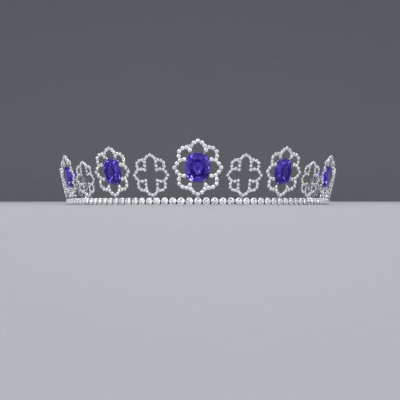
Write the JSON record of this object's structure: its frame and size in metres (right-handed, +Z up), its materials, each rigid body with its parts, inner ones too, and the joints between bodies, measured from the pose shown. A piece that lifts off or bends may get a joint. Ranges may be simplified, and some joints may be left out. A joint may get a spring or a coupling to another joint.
{
  "type": "halo tiara",
  "caption": "Halo tiara: a round band of brilliants, open at the back, with upright pierced motifs, some round a violet-blue cushion-cut sapphire.",
  "frame": {"origin": "centre of the bounding box's bottom face, on the surface that the band rests on", "axes": "+X to the right as seen from the front, +Y from the front motif to the open back, +Z up"},
  "size_m": [0.1608, 0.122, 0.0326],
  "materials": {
    "white_gold": "polished, rhodium plated",
    "diamond": "faceted and polished",
    "sapphire": "faceted and polished"
  },
  "bodies": {
    "root": {"band": "white_gold", "sapphire_frame_centre": "white_gold", "sapphire_frame_left_1": "white_gold", "sapphire_frame_left_2": "white_gold", "sapphire_frame_left_3": "white_gold", "sapphire_frame_right_1": "white_gold", "sapphire_frame_right_2": "white_gold", "sapphire_frame_right_3": "white_gold", "open_frame_left_1": "white_gold", "open_frame_left_2": "white_gold", "open_frame_left_3": "white_gold", "open_frame_left_4": "white_gold", "open_frame_right_1": "white_gold", "open_frame_right_2": "white_gold", "open_frame_right_3": "white_gold", "open_frame_right_4": "white_gold", "sapphire_centre": "sapphire", "sapphire_left_1": "sapphire", "sapphire_left_2": "sapphire", "sapphire_left_3": "sapphire", "sapphire_right_1": "sapphire", "sapphire_right_2": "sapphire", "sapphire_right_3": "sapphire"}
  },
  "joints": []
}
